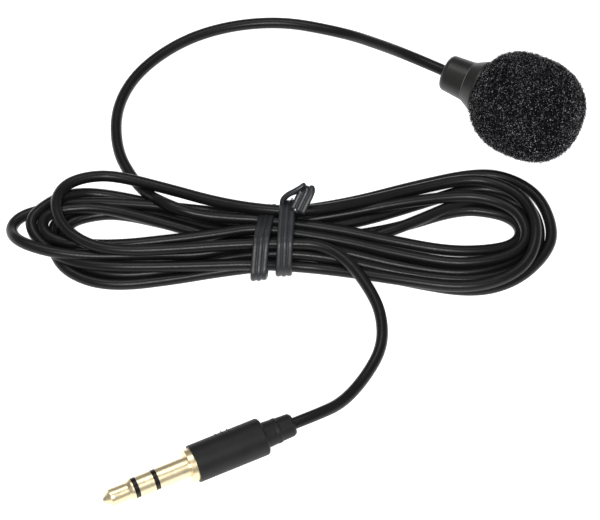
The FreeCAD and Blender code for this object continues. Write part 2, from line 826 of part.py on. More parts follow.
def plug_wiring():
    core = 0.25
    jacket = size("plug_jacket_end")
    solder = 0.4
    rod = size("rod_tail") - solder
    offset = -size(SHIELD_OFFSET)
    sleeve = size("sleeve_tail") - solder
    frustums("plug_solder_joints", [("rod_tail", "0"), ("sleeve_tail", "0 - " + SHIELD_OFFSET)],
             "0.38", "0.28", "0.4", at_plug())
    tube("plug_signal_wire", [
        (jacket, 0.5, 0),
        (jacket + 1.0, 0.5, 0),
        (rod - 1.0, 0, 0),
        (rod, 0, 0),
    ], core, at_plug())
    tube("plug_shield_wire", [
        (jacket, -0.5, 0),
        (jacket + 1.2, -0.5, 0),
        (jacket + 3.2, offset, 0),
        (sleeve, offset, 0),
    ], core, at_plug())
    keep(turned("plug_jacket_end", [
        ("relief_rear", "0"),
        ("relief_rear", "cable_radius"),
        ("plug_jacket_end", "cable_radius"),
        ("plug_jacket_end", "0"),
    ]), at_plug())


def plug_inner_mould():
    """Moulded round the tails of the contacts, the solder and the wires."""
    blank = turned("mould_blank", [
        ("mould_rear", "0"),
        ("mould_rear", "mould_radius"),
        ("0 - flange_thickness", "mould_radius"),
        ("0 - flange_thickness", "0"),
    ])
    blank.Placement = at_plug()
    held = ("plug_tip", "plug_front_insulator", "plug_ring", "plug_rear_insulator", "plug_sleeve",
            "plug_solder_joints", "plug_signal_wire", "plug_shield_wire", "plug_jacket_end")
    shape = blank.Shape
    for piece in subparts:
        if piece.Label in held:
            shape = shape.cut(piece.Shape)
    mould = doc.addObject("Part::Feature", "plug_inner_mould")
    mould.Label = "plug_inner_mould"
    mould.Shape = max(shape.Solids, key=lambda solid: solid.Volume)
    subparts.append(mould)


def plug_barrel():
    body = turned("plug_barrel", [
        ("barrel_rear", "relief_root_radius"),
        ("barrel_rear", "barrel_radius"),
        ("0 - flange_thickness", "barrel_radius"),
        ("0 - flange_thickness", "mould_radius"),
        ("mould_rear", "mould_radius"),
        ("mould_rear", "cable_radius"),
        ("relief_root", "cable_radius"),
        ("relief_root", "relief_root_radius"),
    ])
    for number in range(3):
        shift = f"first_rib - rib_pitch * {number}"
        rib = outline(body, f"rib_{number}", [
            (shift, "barrel_radius - 0.2"),
            (f"{shift} + rib_width", "barrel_radius - 0.2"),
            (f"{shift} + rib_width / 2", "barrel_radius + rib_height"),
        ], plane="XZ_Plane")
        rib.AttachmentOffset = FreeCAD.Placement(
            FreeCAD.Vector(), FreeCAD.Rotation(FreeCAD.Vector(1, 0, 0), size("rib_side")))
        turn = body.newObject("PartDesign::Revolution", f"rib_{number}_turn")
        turn.Profile = rib
        turn.ReferenceAxis = (rib, ["H_Axis"])
        turn.Angle = 60
        turn.Midplane = True
        doc.recompute()
    rounded(body, "barrel_rounding", rim_at("barrel_rear", "barrel_radius"))
    keep(body, at_plug())


def plug_strain_relief():
    band_middle = "(barrel_rear + relief_rear) / 2 + 0.3"
    body = turned("plug_strain_relief", [
        ("relief_rear", "cable_radius"),
        ("relief_rear", "relief_end_radius - 0.25"),
        ("relief_rear + 0.4", "relief_end_radius"),
        (f"{band_middle} - 0.4", "relief_radius - 0.08"),
        (f"{band_middle} - 0.2", "relief_band - 0.05"),
        (f"{band_middle} + 0.2", "relief_band - 0.05"),
        (f"{band_middle} + 0.4", "relief_radius"),
        ("barrel_rear", "relief_band"),
        ("barrel_rear", "relief_root_radius"),
        ("relief_root", "relief_root_radius"),
        ("relief_root", "cable_radius"),
    ])
    keep(body, at_plug())


# -------------------------------------------------------------------------------- build it all

rear_housing()
head_shell()
front_grille()
capsule_boot()
capsule_can()
capsule_layers()
plate_holder()
contact_ring()
capsule_fet()
head_wiring()
foam_windscreen()
cable_leads()
cable_hank()
twist_tie()
plug_contacts()
plug_wiring()
plug_inner_mould()
plug_barrel()
plug_strain_relief()


def check_everything():
    """Stop before writing if anything failed to build."""
    for item in doc.Objects:
        if "Invalid" in item.State or "Error" in item.State:
            raise ValueError(f"{item.Name} failed: {item.State}")
    for piece in subparts:
        shape = piece.Shape
        if shape.isNull() or not shape.isValid() or not shape.Solids:
            raise ValueError(piece.Label + " is not a valid solid")


def write_parts():
    os.makedirs("parts", exist_ok=True)
    for piece in subparts:
        shape = piece.Shape
        box = shape.BoundBox
        print(f"{piece.Label}: {len(shape.Solids)} solid, {shape.Volume:.3f} mm3, "
              f"z {box.ZMin:.2f} to {box.ZMax:.2f}")
        shape.exportStep(f"parts/{piece.Label}.step")
    print(len(subparts), "sub-parts")


doc.recompute()
check_everything()
write_parts()
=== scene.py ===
"""Looks of the lavalier microphone: cable, hank, twist tie, foam, plug and every surface.

Lengths are written in millimetres and scaled by MM, because Blender works in metres. The hank
has a frame of its own: x along it, y towards the head's side, origin on the table under the tie.
"""
import bpy
import json
import math
from typing import NamedTuple, Optional

import numpy as np
from mathutils import Matrix, Vector, noise


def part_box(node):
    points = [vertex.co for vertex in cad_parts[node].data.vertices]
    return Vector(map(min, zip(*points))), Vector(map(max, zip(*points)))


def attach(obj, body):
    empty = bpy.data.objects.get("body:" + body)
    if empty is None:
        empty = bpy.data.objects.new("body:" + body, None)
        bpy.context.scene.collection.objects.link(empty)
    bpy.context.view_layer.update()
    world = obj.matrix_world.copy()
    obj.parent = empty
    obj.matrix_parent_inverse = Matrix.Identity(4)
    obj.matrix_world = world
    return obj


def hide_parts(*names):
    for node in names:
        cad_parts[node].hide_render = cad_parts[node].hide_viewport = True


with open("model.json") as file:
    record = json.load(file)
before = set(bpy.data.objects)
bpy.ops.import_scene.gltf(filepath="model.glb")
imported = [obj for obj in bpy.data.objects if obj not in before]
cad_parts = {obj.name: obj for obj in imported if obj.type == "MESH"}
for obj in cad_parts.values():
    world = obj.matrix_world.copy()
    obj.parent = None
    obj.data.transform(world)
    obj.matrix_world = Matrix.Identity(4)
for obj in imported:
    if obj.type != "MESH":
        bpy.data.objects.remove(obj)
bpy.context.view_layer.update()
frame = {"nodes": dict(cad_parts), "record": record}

MM = 0.001
TWO_PI = 2 * math.pi


# ------------------------------------------------------------------------------- small helpers

def mesh_piece(name, points, faces, smooth=True):
    """A mesh object from points in millimetres."""
    mesh = bpy.data.meshes.new(name)
    mesh.from_pydata([(x * MM, y * MM, z * MM) for x, y, z in points], [], faces)
    mesh.validate()
    mesh.shade_smooth() if smooth else mesh.shade_flat()
    piece = bpy.data.objects.new(name, mesh)
    bpy.context.scene.collection.objects.link(piece)
    return piece


def ring_faces(count, rings, closed_along=False):
    """Quads between rings of points, each ring count points round."""
    faces = []
    for row in range(rings if closed_along else rings - 1):
        after = (row + 1) % rings
        for column in range(count):
            beside = (column + 1) % count
            faces.append((row * count + column, row * count + beside,
                          after * count + beside, after * count + column))
    return faces


def finish_piece(piece, body, slot, material, *nodes):
    """Give a piece its material and its body, and hide the CAD nodes it stands for. The slot is
    not used.
    """
    piece.data.materials.clear()
    piece.data.materials.append(material)
    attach(piece, body)
    if nodes:
        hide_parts(*nodes)
    return piece


# ----------------------------------------------------------------------------------- materials

def new_material(name, colour, roughness, metallic=0.0, specular=0.5):
    """A Principled material, its node tree and its shader."""
    material = bpy.data.materials.new(name)
    material.use_nodes = True
    tree = material.node_tree
    shader = tree.nodes["Principled BSDF"]
    shader.inputs["Base Color"].default_value = (*colour, 1)
    shader.inputs["Roughness"].default_value = roughness
    shader.inputs["Metallic"].default_value = metallic
    shader.inputs["Specular IOR Level"].default_value = specular
    return material, tree, shader


def noise_at(tree, scale, detail=4.0, kind="ShaderNodeTexNoise", **more):
    """A texture in the object's own coordinates; scale is in patterns per metre."""
    place = tree.nodes.new("ShaderNodeTexCoord")
    texture = tree.nodes.new(kind)
    texture.inputs["Scale"].default_value = scale
    if "Detail" in texture.inputs:
        texture.inputs["Detail"].default_value = detail
    for key, value in more.items():
        setattr(texture, key, value)
    tree.links.new(place.outputs["Object"], texture.inputs["Vector"])
    return texture


def ramp(tree, source, stops):
    """A colour ramp; stops are (place, grey or colour)."""
    made = tree.nodes.new("ShaderNodeValToRGB")
    elements = made.color_ramp.elements
    while len(elements) < len(stops):
        elements.new(0.5)
    for element, (place, value) in zip(elements, stops):
        element.position = place
        colour = (value,) * 3 if isinstance(value, (int, float)) else value
        element.color = (*colour, 1)
    tree.links.new(source, made.inputs["Fac"])
    return made.outputs["Color"]


def bump(tree, shader, height, distance, strength=1.0, under=None):
    """Add relief to a shader; distance is in metres."""
    made = tree.nodes.new("ShaderNodeBump")
    made.inputs["Strength"].default_value = strength
    made.inputs["Distance"].default_value = distance
    tree.links.new(height, made.inputs["Height"])
    if under is not None:
        tree.links.new(under, made.inputs["Normal"])
    tree.links.new(made.outputs["Normal"], shader.inputs["Normal"])
    return made.outputs["Normal"]


def varied(name, colour, other, roughness, grain=900.0, relief=0.00001, metallic=0.0,
           spread=0.08, specular=0.5):
    """A moulded or drawn surface: two close colours, uneven gloss and fine grain."""
    material, tree, shader = new_material(name, colour, roughness, metallic, specular)
    broad = noise_at(tree, grain * 0.25, 3.0)
    fine = noise_at(tree, grain * 4, 6.0)
    tree.links.new(ramp(tree, broad.outputs["Fac"], [(0.35, colour), (0.65, other)]),
                   shader.inputs["Base Color"])
    low, high = max(0.02, roughness - spread), min(1.0, roughness + spread)
    tree.links.new(ramp(tree, fine.outputs["Fac"], [(0.3, low), (0.7, high)]),
                   shader.inputs["Roughness"])
    bump(tree, shader, fine.outputs["Fac"], relief)
    return material


def cable_material():
    """Black soft PVC: satin, very slightly dusty, with a faint extruded unevenness."""
    material, tree, shader = new_material("cable_pvc", (0.006, 0.006, 0.006), 0.34,
                                          specular=0.2)
    broad = noise_at(tree, 160, 3.0)
    fine = noise_at(tree, 6000, 5.0)
    dust = noise_at(tree, 2200, 2.0)
    tree.links.new(ramp(tree, broad.outputs["Fac"],
                        [(0.3, (0.005, 0.005, 0.005)), (0.7, (0.009, 0.009, 0.009))]),
                   shader.inputs["Base Color"])
    tree.links.new(ramp(tree, dust.outputs["Fac"], [(0.35, 0.3), (0.7, 0.38)]),
                   shader.inputs["Roughness"])
    bump(tree, shader, fine.outputs["Fac"], 0.000004, 0.5)
    return material


def foam_material():
    """Open-cell foam behind its outer struts: near black with random dark-grey specks that are a
    little glossier, over bumped cells.
    """
    material, tree, shader = new_material("foam_open_cell", (0.004, 0.004, 0.005), 0.8,
                                          specular=0.05)
    cells = noise_at(tree, 2300, kind="ShaderNodeTexVoronoi", feature="DISTANCE_TO_EDGE")
    specks = noise_at(tree, 5200, 2.0)
    tree.links.new(ramp(tree, specks.outputs["Fac"], [(0.5, (0.001, 0.001, 0.0012)),
                                                      (0.72, (0.02, 0.02, 0.023))]),
                   shader.inputs["Base Color"])
    tree.links.new(ramp(tree, specks.outputs["Fac"], [(0.4, 0.9), (0.68, 0.6)]),
                   shader.inputs["Roughness"])
    deep = bump(tree, shader, cells.outputs["Distance"], 0.0002, 0.8)
    bump(tree, shader, specks.outputs["Fac"], 0.0002, 0.9, deep)
    return material


def strut_material_with_painted_glints():
    """The foam's outer struts: most are black, and a few are painted near white as painted
    glints; their gloss varies.
    """
    material, tree, shader = new_material("foam_strut", (0.02, 0.02, 0.022), 0.35,
                                          specular=0.2)
    chance = noise_at(tree, 7000, 0.0)
    skin = noise_at(tree, 20000, 2.0)
    # The last stop paints near-white struts: painted glints of light on the black foam, not its
    # own colour.
    tree.links.new(ramp(tree, chance.outputs["Fac"], [(0.54, (0.002, 0.002, 0.0025)),
                                                      (0.64, (0.03, 0.03, 0.034)),
                                                      (0.75, (0.75, 0.75, 0.8))]),
                   shader.inputs["Base Color"])
    tree.links.new(ramp(tree, skin.outputs["Fac"], [(0.35, 0.45), (0.65, 0.25)]),
                   shader.inputs["Roughness"])
    bump(tree, shader, skin.outputs["Fac"], 0.00001, 0.5)
    return material


CABLE = cable_material()
FOAM = foam_material()
STRUT_WITH_PAINTED_GLINTS = strut_material_with_painted_glints()
HOUSING = varied("housing_satin", (0.0085, 0.0083, 0.0078), (0.012, 0.0117, 0.011), 0.4, 1400,
                 specular=0.4)
# The seam's pale grey is a painted highlight along the raised line, not a paler plastic.
SEAM_PAINTED_HIGHLIGHT = varied("housing_seam_painted_highlight", (0.09, 0.09, 0.095), (0.12, 0.12, 0.125), 0.45, 1400)
TIE = varied("tie_pvc", (0.014, 0.015, 0.018), (0.022, 0.023, 0.026), 0.42, 1200, 0.00002)
STEEL = varied("bare_wire", (0.62, 0.62, 0.64), (0.5, 0.5, 0.52), 0.25, 2000, 0.000004,
               metallic=1.0)
GOLD = varied("pale_gold", (0.80, 0.69, 0.46), (0.75, 0.63, 0.41), 0.36, 500, 0.000002,
              metallic=1.0, spread=0.05)
BAND = varied("insulating_band", (0.004, 0.003, 0.003), (0.008, 0.006, 0.006), 0.35,
              specular=0.25)
PLUG_BODY = varied("plug_pvc", (0.004, 0.004, 0.0042), (0.0065, 0.0065, 0.0068), 0.55, 1500,
                   0.00002, specular=0.3)

# The material of each slot in the record
NODE_MATERIALS = {
    "inner_mould": varied("natural_polyethylene", (0.7, 0.69, 0.64), (0.76, 0.75, 0.7), 0.5),
    "boot": varied("silicone_boot", (0.03, 0.03, 0.034), (0.05, 0.05, 0.055), 0.6),
    "can": varied("drawn_aluminium", (0.76, 0.76, 0.78), (0.7, 0.7, 0.72), 0.3, metallic=1.0),
    "steel": varied("punched_sheet", (0.5, 0.5, 0.52), (0.42, 0.42, 0.44), 0.35, metallic=1.0),
    "brass": varied("turned_brass", (0.72, 0.57, 0.28), (0.66, 0.5, 0.24), 0.3, metallic=1.0),
    "felt": varied("black_felt", (0.02, 0.02, 0.02), (0.04, 0.04, 0.04), 0.95, 2500, 0.0001),
    "film": varied("metal_film", (0.78, 0.78, 0.76), (0.72, 0.72, 0.7), 0.15, metallic=0.8),
    "insulator": varied("white_plastic", (0.8, 0.8, 0.76), (0.85, 0.85, 0.82), 0.45),
    "board": varied("glass_epoxy", (0.05, 0.22, 0.1), (0.07, 0.28, 0.13), 0.4),
    "chip": varied("epoxy_package", (0.03, 0.03, 0.03), (0.05, 0.05, 0.05), 0.5),
    "solder": varied("tin_solder", (0.68, 0.68, 0.7), (0.6, 0.6, 0.62), 0.28, metallic=1.0),
    "core_white": varied("core_insulation", (0.85, 0.85, 0.82), (0.8, 0.8, 0.77), 0.4),
    "core_copper": varied("copper_shield", (0.7, 0.38, 0.22), (0.6, 0.3, 0.17), 0.35,
                          metallic=1.0),
    "housing": HOUSING,
    "cable": CABLE,
    "gold": GOLD,
    "band": BAND,
    "plug_body": PLUG_BODY,
    "tie": TIE,
    "tie_wire": STEEL,
    "foam": FOAM,
}


def dress_cad_nodes():
    """Every carried-over node takes the material of its slot in the record."""
    for row in frame["record"]["subparts"]:
        carried = frame["nodes"][row["node"]]
        material = NODE_MATERIALS[row["material_slot"]]
        if not carried.material_slots:
            carried.data.materials.append(material)
        for place in carried.material_slots:
            place.material = material


dress_cad_nodes()

# ------------------------------------------------------------------------------ cable and hank

CABLE_DIAMETER = 2.0
CABLE_RADIUS = CABLE_DIAMETER / 2
HANK_PLACE = (-23.1, -41.8)
HANK_HEADING = math.radians(29.0)
HANK_COS, HANK_SIN = math.cos(HANK_HEADING), math.sin(HANK_HEADING)

# The head's lead and the plug's lead, as the model's own tubes have them, in the model's frame
MIC_LEAD = [(-13.0, 0.0, 9.2), (-19.5, 0.0, 9.2), (-27.0, 2.2, 5.6), (-36.0, 4.3, 1.4),
            (-48.5, 1.0, 1.0), (-59.0, -8.0, 1.0), (-64.0, -19.5, 1.0), (-63.6, -29.5, 1.0),
            (-58.5, -38.0, 1.0), (-52.3, -42.4, 1.0)]
PLUG_LEAD = [(-5.0, -43.4, 3.9), (-0.9, -46.4, 2.7), (2.0, -51.4, 1.4), (2.2, -57.9, 1.0),
             (1.4, -64.4, 1.7), (-0.7, -69.1, 3.2), (-3.5, -72.8, 3.2)]
# Where the head's lead slips in under the hank's top turn, and where the plug's lead comes out,
# in the hank's frame
INTO_HANK = [(-23.1, 10.0, 1.3), (-20.6, 6.7, 3.6), (-17.3, 4.9, 3.9), (-13.5, 4.2, 3.6),
             (-8.5, 4.1, 3.3), (-4.0, 4.1, 3.2)]
OUT_OF_HANK = [(2.0, -2.1, 5.0), (7.2, -2.3, 5.1), (11.6, -5.3, 4.9)]
HELD_AT_START, HELD_AT_END = 8, 6  # control points that the settling leaves alone

TIE_HALF = 4.0  # the strands run straight through the tie for this far each way
BACK_SHOULDER, FRONT_SHOULDER = 0.74, 0.69  # where a loop is widest, as a share of its reach
FULL_WIDTH = 12.5  # a narrower loop than this has a blunter tip
RUN = (0.0, 0.3, 0.62)  # where a strand's points lie between the tie and the widest place
TIP_STEPS = 6


class Loop(NamedTuple):
    """One loop of the hank: how far it reaches, and its y and z at three places.

    Where it crosses its neighbour, it also has a z half way round on each side of the tip.
    """
    reach: float
    tip_y: float
    back_y: float
    front_y: float
    back_z: float
    tip_z: float
    front_z: float
    back_crossing_z: Optional[float] = None
    front_crossing_z: Optional[float] = None
    back_roundness: float = 0.8
    front_roundness: float = 0.8


# Each turn is a loop on the plug's side (right) and one on the other side (left).
# The slots are the turn's places (y, z) at the tie's edges, in the cable's order: right front,
# right back, left back, left front. The right loop's back strand spreads late, by a share
# from 0 to 1, where others hold it down. The left loop's two strands leave the bundle early, by a
# share, at the back and at the front.
TURNS = [
    {"slots": ((3.0, 3.4), (1.3, 1.7), (-0.4, 1.7), (-2.6, 3.3)), "late": 1.0,
     "early": (0.08, -0.22),
     "right": Loop(42.6, 3.1, 8.2, -2.0, 1.0, 2.3, 3.6),
     "left": Loop(38.2, 2.8, 7.5, -5.8, 1.0, 1.0, 1.2, 1.0, 1.1, 0.8, 0.6)},
    {"slots": ((-3.1, 3.4), (3.1, 1.7), (1.5, 1.7), (-4.3, 1.7)), "late": 0.4,
     "right": Loop(44.8, 2.3, 12.6, -7.0, 1.0, 1.2, 1.0),
     "left": Loop(39.9, 2.5, 8.5, -7.9, 1.0, 1.0, 1.0)},
    {"slots": ((-2.5, 1.7), (6.8, 1.7), (5.4, 1.7), (-0.6, 3.4)), "late": 0.0,
     "early": (0.0, 0.64),
     "right": Loop(46.5, 3.7, 15.8, -8.5, 1.0, 1.2, 1.0, 1.1, 1.1, 0.8, 1.4),
     "left": Loop(47.0, 3.1, 8.0, -4.15, 2.6, 1.2, 3.2, 1.0, 3.9, 0.8, 0.8)},
    {"slots": ((-1.1, 3.4), (-0.6, 1.7), (-2.3, 1.7), (2.3, 3.5)), "late": 0.8,
     "early": (0.2, 0.15),
     "right": Loop(43.4, 2.0, 9.0, -6.4, 2.9, 1.8, 2.3),
     "left": Loop(41.8, 3.4, 7.9, -1.1, 2.2, 3.0, 3.4)},
    {"slots": ((0.9, 3.4), (4.9, 1.7), (3.4, 1.7), (-4.7, 3.4)), "late": 0.0,
     "right": Loop(43.0, 1.2, 9.2, -5.0, 3.2, 3.6, 3.4),
     "left": Loop(42.7, 4.0, 10.6, -4.85, 1.0, 2.4, 3.0, 2.8, 1.6, 1.5, 1.5)},
    {"slots": ((-4.2, 1.8), (4.3, 5.0), (4.9, 5.0), (-2.3, 5.0)), "late": 0.0,
     "right": Loop(43.7, 1.3, 13.0, -9.3, 3.2, 4.6, 3.0),
     "left": Loop(39.2, 6.3, 13.0, -3.65, 3.4, 4.4, 4.4, 3.9, 4.4, 0.7, 1.0)},
]


def from_hank(point):
    """A point of the hank's frame in the model's frame."""
    return (HANK_PLACE[0] + HANK_COS * point[0] - HANK_SIN * point[1],
            HANK_PLACE[1] + HANK_SIN * point[0] + HANK_COS * point[1], point[2])


def in_hank(point):
    """A point of the model's frame in the hank's frame."""
    x, y = point[0] - HANK_PLACE[0], point[1] - HANK_PLACE[1]
    return (HANK_COS * x + HANK_SIN * y, HANK_COS * y - HANK_SIN * x, point[2])


def loop_points(side, loop, first, last, late=0.0, early=(0.0, 0.0)):
    """Thirteen points of a loop, anticlockwise from above, from slot to slot."""
    back = (BACK_SHOULDER * loop.reach, loop.back_y, loop.back_z)
    front = (FRONT_SHOULDER * loop.reach, loop.front_y, loop.front_z)
    starts, ends = (front, back) if side > 0 else (back, front)

    def run(slot, shoulder, shares, early, late=0.0):
        """The strand between the tie and its widest place."""
        for share in shares:
            soft = 0.5 * share + 0.5 * share * share * (3 - 2 * share)
            spread = (1 - late) * soft + late * share * share
            spread += 9 * early * share * (1 - share) ** 3
            yield (side * (TIE_HALF + (shoulder[0] - TIE_HALF) * share),
                   slot[0] + (shoulder[1] - slot[0]) * spread,
                   slot[1] + (shoulder[2] - slot[1]) * min(1.0, 1.6 * share))

    points = list(run(first, starts, RUN, early[0]))
    fullness = min(1.0, (loop.back_y - loop.front_y) / FULL_WIDTH)
    for step in range(TIP_STEPS + 1):
        turn = step * math.pi / TIP_STEPS
        shoulder = starts if 2 * step <= TIP_STEPS else ends
        if shoulder is back:
            crossing_z, roundness = loop.back_crossing_z, loop.back_roundness
        else:
            crossing_z, roundness = loop.front_crossing_z, loop.front_roundness
        across = abs(math.cos(turn)) ** roundness
        beyond = abs(math.sin(turn)) ** fullness
        height = loop.tip_z + (shoulder[2] - loop.tip_z) * across
        if crossing_z is not None:
            height += (crossing_z - height) * math.sin(2 * turn) ** 2
        points.append((side * (shoulder[0] + (loop.reach - shoulder[0]) * beyond),
                       loop.tip_y + (shoulder[1] - loop.tip_y) * across, height))
    return points + list(run(last, ends, RUN[::-1], early[1], late))


def cable_route():
    """Control points of the whole cable in the hank's frame, and which of them stay put."""
    points = [in_hank(point) for point in MIC_LEAD] + INTO_HANK
    for turn in TURNS:
        right_front, right_back, left_back, left_front = turn["slots"]
        points += loop_points(1, turn["right"], right_front, right_back, turn["late"])
        points += loop_points(-1, turn["left"], left_back, left_front,
                              early=turn.get("early", (0.0, 0.0)))
    points += OUT_OF_HANK + [in_hank(point) for point in PLUG_LEAD]
    held = np.zeros(len(points), bool)
    held[:HELD_AT_START] = True
    held[-HELD_AT_END:] = True
    return np.array(points), held


def spline_weights(count, per_span):
    """Rows that turn control points into places on their clamped quadratic spline."""
    spans = count - 2
    knots = np.concatenate([[0, 0], np.arange(spans + 1), [spans, spans]]).astype(float)
    rows = np.zeros((spans * per_span + 1, count))
    for row in range(len(rows)):
        place = min(row / per_span, spans - 1e-9)
        span = int(place)
        a, b, c, d = knots[span + 1:span + 5]
        near = (c - place) / (c - b)
        rows[row, span] = near * (c - place) / (c - a)
        rows[row, span + 2] = (1 - near) * (place - b) / (d - b)
        rows[row, span + 1] = 1 - rows[row, span] - rows[row, span + 2]
    return rows


def settled(points, held, rounds=300, per_span=4):
    """Let the turns sink onto the table and onto each other, without passing through."""
    sink = 0.05  # how far the turns fall in a round
    pull_in_tie, pull_outside = 0.12, 0.03  # the share of the way home in a round
    search_every, search_reach = 10, CABLE_DIAMETER + 1.2
    neighbours = 3 * per_span  # samples this near along the cable never touch

    weights = spline_weights(len(points), per_span)
    home = points.copy()
    places = points.copy()
    free = ~held
    in_tie = np.abs(home[:, 0]) < TIE_HALF + 0.1
    pull = np.where(in_tie & free, pull_in_tie, pull_outside)[:, None]
    number = np.arange(len(weights))
    for round_number in range(rounds):
        places[free & ~in_tie, 2] -= sink
        line = weights @ places
        if round_number % search_every == 0:
            apart = np.linalg.norm(line[:, None] - line[None], axis=2)
            close = apart < search_reach
            close &= number[:, None] + neighbours <= number[None]
            one, two = np.nonzero(close)
        between = line[one] - line[two]
        distance = np.linalg.norm(between, axis=1) + 1e-9
        touching = distance < CABLE_DIAMETER
        a, b = one[touching], two[touching]
        push = (0.5 * (CABLE_DIAMETER - distance[touching]) / distance[touching])[:, None]
        push = push * between[touching]
        move = np.zeros_like(line)
        count = np.zeros(len(line))
        for index, shift in ((a, push), (b, -push)):
            np.add.at(move, index, shift)
            np.add.at(count, index, 1)
        move /= np.sqrt(np.maximum(1, count))[:, None]
        sunk = np.maximum(0, CABLE_RADIUS - line[:, 2])
        move[:, 2] += sunk
        active = ((count > 0) | (sunk > 0)).astype(float)
        share = np.maximum(0.25, weights.T @ active)[:, None]
        places[free] += (1.2 * (weights.T @ move) / share)[free]
        shift = places - home
        smooth = shift.copy()
        smooth[1:-1] = 0.25 * shift[:-2] + 0.5 * shift[1:-1] + 0.25 * shift[2:]
        places[free] = (home + smooth)[free]
        places[free, :2] += (pull * (home - places))[free, :2]
        places[in_tie & free, 2] += (pull[:, 0] * (home - places)[:, 2])[in_tie & free]
        places[free, 2] = np.maximum(places[free, 2], CABLE_RADIUS)
    return places


def make_cable():
    """The cable from the head to the plug as one spline, and its line in the hank's frame."""
    route, held = cable_route()
    settled_points = settled(route, held)
    curve = bpy.data.curves.new("cable", "CURVE")
    curve.dimensions = "3D"
    spline = curve.splines.new("NURBS")
    spline.points.add(len(settled_points) - 1)
    for target, point in zip(spline.points, settled_points):
        x, y, z = from_hank(point)
        target.co = (x * MM, y * MM, z * MM, 1)
    spline.order_u = 3
    spline.use_endpoint_u = True
    spline.resolution_u = 10
    curve.bevel_depth = CABLE_RADIUS * MM
    curve.bevel_resolution = 7
    curve.use_fill_caps = True
    cable = bpy.data.objects.new("cable", curve)
    bpy.context.scene.collection.objects.link(cable)
    finish_piece(cable, "microphone", "cable", CABLE,
                 "cable_mic_lead", "cable_hank", "cable_plug_lead")
    return cable, spline_weights(len(settled_points), 12) @ settled_points


cable, cable_line = make_cable()
cable_length = float(np.linalg.norm(np.diff(cable_line, axis=0), axis=1).sum()) * MM


# ----------------------------------------------------------------------------------- twist tie

RIBBON_WIDTH = 2.8
RIBBON_HALF = 0.48  # half its thickness at the middle ridge
RIDGE = 0.26
SIDE_RIDGE = 0.75  # of the middle ridge
BUNDLE_HALF = 9.0  # the strands at the tie lie within this of the hank's axis


def ribbon_section(count=96):
    """A flat ribbon with a ridge over its wire and a lower one each side: (across, outwards)."""
    section = []
    for step in range(count):
        turn = TWO_PI * step / count
        across = math.cos(turn)
        ridge = abs(math.cos(1.5 * math.pi * across)) ** 0.5
        if abs(across) > 1 / 3:
            ridge *= SIDE_RIDGE
        height = (RIBBON_HALF - RIDGE + RIDGE * ridge) * min(1.0, 2.2 * abs(math.sin(turn)))
        section.append((0.5 * RIBBON_WIDTH * across, math.copysign(height, math.sin(turn))))
    return section


def ribbon(path, across, closed):
    """Sweep the ribbon along a path; across gives its width direction at each point."""
    path = [Vector(point) for point in path]
    section = ribbon_section()
    count = len(path)
    points = []
    for index, place in enumerate(path):
        before = path[index - 1] if closed or index else path[0]
        after = path[(index + 1) % count] if closed or index + 1 < count else path[-1]
        along = (after - before).normalized()
        side = Vector(across[index])
        side = (side - along * side.dot(along)).normalized()
        out = side.cross(along)
        points += [place + side * a + out * b for a, b in section]
    faces = ring_faces(len(section), count, closed)
    if not closed:
        last = (count - 1) * len(section)
        faces.append(tuple(reversed(range(len(section)))))
        faces.append(tuple(range(last, last + len(section))))
    return points, faces


def bundle_at(place):
    """Where the hank's strands cross the plane x = place, as (y, z), nearest the table first."""
    found = []
    for before, after in zip(cable_line, cable_line[1:]):
        if (before[0] - place) * (after[0] - place) <= 0 and before[0] != after[0]:
            share = (place - before[0]) / (after[0] - before[0])
            spot = before[1:] + share * (after[1:] - before[1:])
            if abs(spot[0]) < BUNDLE_HALF:
                found.append(spot)
    return sorted(found, key=lambda spot: spot[1])


def hull(spots, radius, steps=24):
    """Points of a tight band round circles of one radius, anticlockwise."""
    rim = [(y + radius * math.cos(TWO_PI * k / steps), z + radius * math.sin(TWO_PI * k / steps))
           for y, z in spots for k in range(steps)]
    rim = sorted(set((round(y, 5), round(z, 5)) for y, z in rim))

    def half(ordered):
        """One side of the outline, from its first point to its last but one."""
        chain = []
        for spot in ordered:
            while len(chain) > 1:
                (ay, az), (by, bz) = chain[-2], chain[-1]
                if (by - ay) * (spot[1] - az) - (bz - az) * (spot[0] - ay) > 0:
                    break
                chain.pop()
            chain.append(spot)
        return chain[:-1]

    return half(rim) + half(rim[::-1])


def evened(corners, count):
    """The same closed outline with evenly spaced points."""
    corners = np.array(corners + corners[:1])
    lengths = np.concatenate([[0], np.cumsum(np.linalg.norm(np.diff(corners, axis=0), axis=1))])
    places = np.linspace(0, lengths[-1], count, endpoint=False)
    return np.stack([np.interp(places, lengths, corners[:, axis]) for axis in (0, 1)], axis=1)


def wrap(middle, lean, over, slack=0.0, count=96):
    """One turn of the ribbon round the strands that over() picks.

    It leans along the hank, and stands off by its slack on the front side.
    """
    strands = [spot for spot in bundle_at(middle) if over(spot)]
    outline = evened(hull(strands, CABLE_RADIUS + RIBBON_HALF), count)
    for _ in range(3):
        outline = 0.5 * outline + 0.25 * (np.roll(outline, 1, 0) + np.roll(outline, -1, 0))
    centre = outline[:, 0].mean()
    half = outline[:, 0].max() - centre
    path = [(middle + lean * (y - centre) / half,
             y - slack * max(0.0, (centre - y) / half) ** 4, max(z, RIBBON_HALF))
            for y, z in outline]
    return ribbon(path, [(1, lean / half, 0)] * len(path), closed=True)


